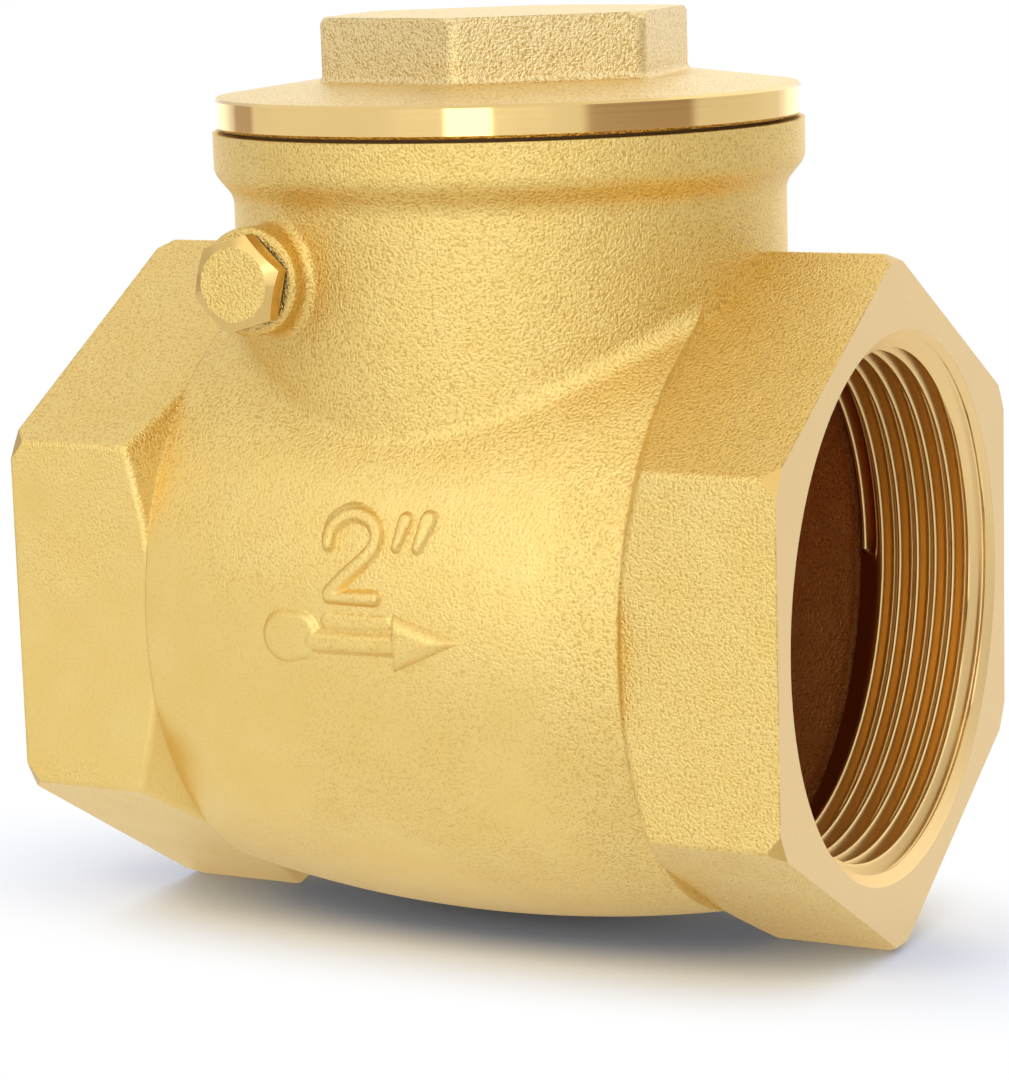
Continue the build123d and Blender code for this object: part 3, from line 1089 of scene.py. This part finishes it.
@dataclass(frozen=True)
class SoftBox:
    """One far soft box of the studio, or with a strength below 0 a black flag.

    Its angles are in degrees. Azimuth 0 is in front of the valve, and 90 at its outlet.
    """

    azimuth: float
    elevation: float
    half_width: float
    half_height: float
    strength: float
    softness: float = 0.35
    colour: str = "#FFFFFF"

    def axes(self) -> tuple[Vector, Vector, Vector]:
        """The box's own axes: out to it, along its width and up its height."""
        a, e = math.radians(self.azimuth), math.radians(self.elevation)
        out = Vector((math.sin(a) * math.cos(e), -math.cos(a) * math.cos(e), math.sin(e)))
        side = Vector((math.cos(a), math.sin(a), 0.0))
        return out, side, side.cross(-out)

    def glow(self, tree: Tree, sight: Socket) -> Socket:
        """Adds the box's light to a world.

        Args:
            tree: the world's node tree.
            sight: the direction looked in.

        Returns:
            The light that comes from that direction.
        """
        out, side, up = self.axes()
        ahead = self.along(tree, sight, out)
        front = maths(tree, "GREATER_THAN", ahead, 0.01)
        across = self.window(tree, self.along(tree, sight, side), ahead, self.half_width)
        upward = self.window(tree, self.along(tree, sight, up), ahead, self.half_height)
        lit = times(tree, times(tree, across, upward), front)
        colour = [c * self.strength for c in linear(self.colour)[:3]]
        inputs = {0: colour, "Scale": lit}
        return add(tree, "ShaderNodeVectorMath", {"operation": "SCALE"}, inputs).outputs["Vector"]

    def window(self, tree: Tree, offset: Socket, ahead: Socket, half: float) -> Socket:
        """One of the box's two openings, which lets light through about its middle.

        Args:
            tree: the world's node tree.
            offset: how far the direction goes along the opening.
            ahead: how far it goes out to the box.
            half: half of the opening, in degrees.

        Returns:
            A share that falls softly from 1 to 0 at the opening's edges.
        """
        far = maths(tree, "ABSOLUTE", maths(tree, "DIVIDE", offset, ahead))
        reach = math.tan(math.radians(half))
        start, end = reach * (1 - self.softness), reach * (1 + self.softness)
        return ramp(tree, far, start, end, 1.0, 0.0, smooth=True)

    def along(self, tree: Tree, sight: Socket, axis: Vector) -> Socket:
        """How far a direction goes along one of the box's axes."""
        inputs = {0: sight, 1: axis}
        kind = {"operation": "DOT_PRODUCT"}
        return add(tree, "ShaderNodeVectorMath", kind, inputs).outputs["Value"]


# Round the valve: large front lights, a bright strip within them, and fill behind. Black flags
# stand at both sides. The front lights are a little cool.
COOL_LIGHT = "#E4EEFF"
BOXES = (
    SoftBox(azimuth=13, elevation=14, half_width=32, half_height=16, strength=0.60,
            softness=0.25, colour=COOL_LIGHT),
    SoftBox(azimuth=24, elevation=18, half_width=30, half_height=3, strength=2.7,
            softness=0.2, colour=COOL_LIGHT),
    SoftBox(azimuth=22, elevation=46, half_width=44, half_height=18, strength=0.6, softness=0.3),
    SoftBox(azimuth=165, elevation=36, half_width=45, half_height=24, strength=0.36),
    SoftBox(azimuth=100, elevation=14, half_width=45, half_height=16, strength=-0.43,
            softness=0.25),
    SoftBox(azimuth=-105, elevation=14, half_width=30, half_height=16, strength=-0.2,
            softness=0.25),
    SoftBox(azimuth=90, elevation=-14, half_width=58, half_height=6, strength=-0.48, softness=0.1),
    SoftBox(azimuth=-90, elevation=-14, half_width=58, half_height=6, strength=-0.34,
            softness=0.1),
)
# Low and narrow, these are what the cap's bright edge shows as upright bars. The dark ones take
# away more blue than red, so that what they leave is warm.
WARM_FLAG = "#DDF6FF"
EDGE_BARS = (
    SoftBox(azimuth=12, elevation=-3.4, half_width=9, half_height=4, strength=1.8, softness=0.12),
    SoftBox(azimuth=80, elevation=-3.4, half_width=23, half_height=4, strength=-0.55,
            softness=0.15, colour=WARM_FLAG),
    SoftBox(azimuth=-98, elevation=-3.4, half_width=8, half_height=4, strength=-0.5,
            softness=0.3, colour=WARM_FLAG),
    SoftBox(azimuth=-155, elevation=-3.4, half_width=42, half_height=4, strength=0.55,
            softness=0.2),
)


@dataclass(frozen=True)
class LongLens:
    """The camera: on a long lens, to the right of the valve and a little above it."""

    place_mm: Triple = (232.52, -363.50, 77.44)
    right: Triple = (0.8900377, 0.45502745, -0.02798068)
    up: Triple = (-0.06016967, 0.17808848, 0.98217315)
    back: Triple = (0.45189878, -0.87248754, 0.18588431)
    sensor_mm: float = 36.0
    lens_mm: float = 120.0
    shift_x: float = -0.0159
    shift_y: float = 0.0404
    sees_from_m: float = 0.01
    sees_to_m: float = 20.0

    def place(self) -> None:
        """Puts the camera into the scene."""
        data = bpy.data.cameras.new("camera")
        data.sensor_width = self.sensor_mm
        data.lens = self.lens_mm
        data.shift_x = self.shift_x
        data.shift_y = self.shift_y
        data.clip_start, data.clip_end = self.sees_from_m, self.sees_to_m
        camera = bpy.data.objects.new("camera", data)
        bpy.context.scene.collection.objects.link(camera)
        turn = Matrix((self.right, self.up, self.back)).transposed().to_4x4()
        camera.matrix_world = Matrix.Translation(Vector(self.place_mm) * MM) @ turn
        bpy.context.scene.camera = camera


@dataclass
class Studio:
    """White studio: a camera on a long lens, a white table and soft boxes round it.

    The table's lengths are in millimetres, and its distances are taken from under the neck.
    """

    lens: LongLens = LongLens()
    boxes: tuple[SoftBox, ...] = BOXES + EDGE_BARS
    ambient: float = 1.0
    ground_z: float = -39.1
    table_radius: float = 420.0
    table_sides: int = 96
    table_colour: str = "#F0F5FF"
    table_roughness: float = 0.9
    shade_colour: str = "#8C9FCE"
    depth_stretch: float = 3.0
    shade_from: float = 25.0
    shade_by: float = 64.0
    white_from: float = 50.0
    white_by: float = 112.0
    mirrored_from: float = -10.0
    mirrored_by: float = 115.0

    def ground(self) -> None:
        """Lays a round white table that keeps the valve's shadow."""
        bm = bmesh.new()
        radius = self.table_radius * MM
        bmesh.ops.create_circle(bm, cap_ends=True, segments=self.table_sides, radius=radius)
        bmesh.ops.translate(bm, verts=bm.verts, vec=(NECK_X * MM, 0, self.ground_z * MM))
        mesh = bpy.data.meshes.new("ground")
        bm.to_mesh(mesh)
        bm.free()
        floor = bpy.data.objects.new("ground", mesh)
        bpy.context.scene.collection.objects.link(floor)
        mesh.materials.append(self.table_top())

    def from_valve(self, tree: Tree) -> Socket:
        """How far a place on the table is from the valve, counted more to front and back."""
        stretched = add(
            tree,
            "ShaderNodeVectorMath",
            {"operation": "MULTIPLY"},
            {0: place_on(tree), 1: (1.0, self.depth_stretch, 1.0)},
        )
        return add(
            tree,
            "ShaderNodeVectorMath",
            {"operation": "DISTANCE"},
            {0: stretched.outputs["Vector"], 1: Vector((NECK_X, 0, self.ground_z)) * MM},
        ).outputs["Value"]

    def table_top(self) -> bpy.types.Material:
        """Builds the table's material, which fades to plain white away from the valve.

        Returns:
            The material.
        """
        material, tree, shader = blank("White table, matt")
        shader.inputs["Roughness"].default_value = self.table_roughness
        shader.inputs["Specular IOR Level"].default_value = 0.0
        far = self.from_valve(tree)
        path = add(tree, "ShaderNodeLightPath").outputs
        shade = ramp(tree, far, self.shade_from * MM, self.shade_by * MM, 1.0, 0.0, smooth=True)
        shaded = times(tree, shade, path["Is Camera Ray"])
        colour = mix(tree, shaded, linear(self.table_colour), linear(self.shade_colour))
        tree.links.new(colour, shader.inputs["Base Color"])
        white = ramp(tree, far, self.white_from * MM, self.white_by * MM, smooth=True)
        mirrored = ramp(tree, far, self.mirrored_from * MM, self.mirrored_by * MM, smooth=True)
        seen = maths(
            tree,
            "MAXIMUM",
            times(tree, white, path["Is Camera Ray"]),
            times(tree, mirrored, path["Is Glossy Ray"]),
        )
        plain = add(tree, "ShaderNodeEmission", {}, {"Color": WHITE}).outputs["Emission"]
        inputs = {0: seen, 1: shader.outputs["BSDF"], 2: plain}
        both = add(tree, "ShaderNodeMixShader", {}, inputs).outputs["Shader"]
        tree.links.new(both, tree.nodes["Material Output"].inputs["Surface"])
        return material

    def world(self) -> None:
        """Lights the room: plain white where the camera looks past the valve, else soft boxes."""
        world = bpy.data.worlds.new("studio")
        bpy.context.scene.world = world
        world.use_nodes = True
        tree = world.node_tree
        tree.nodes.clear()
        sight = add(tree, "ShaderNodeTexCoord").outputs["Generated"]
        total = (self.ambient,) * 3
        for box in self.boxes:
            inputs = {0: total, 1: box.glow(tree, sight)}
            both = add(tree, "ShaderNodeVectorMath", {"operation": "ADD"}, inputs)
            total = both.outputs["Vector"]
        lit = add(tree, "ShaderNodeBackground", {}, {"Color": total}).outputs["Background"]
        plain = add(tree, "ShaderNodeBackground", {}, {"Color": WHITE}).outputs["Background"]
        path = add(tree, "ShaderNodeLightPath").outputs
        inputs = {0: path["Is Camera Ray"], 1: lit, 2: plain}
        seen = add(tree, "ShaderNodeMixShader", {}, inputs).outputs["Shader"]
        add(tree, "ShaderNodeOutputWorld", {}, {"Surface": seen})

    def build(self) -> None:
        """Sets up the camera, table, world and view."""
        self.lens.place()
        self.ground()
        self.world()
        bpy.context.scene.view_settings.view_transform = "Standard"
        log.info("studio ready")


def main() -> None:
    """Builds and dresses the valve, then the studio."""
    logging.basicConfig(level=logging.INFO, format="%(name)s: %(message)s")
    BodyCasting().build()
    for port in Port:
        PipeThread(port).build()
    CastMarks().build()
    Bonnet().dress()
    PinPlug().dress()
    DiscAssembly().dress()
    Studio().build()


if __name__ == "__main__":
    main()
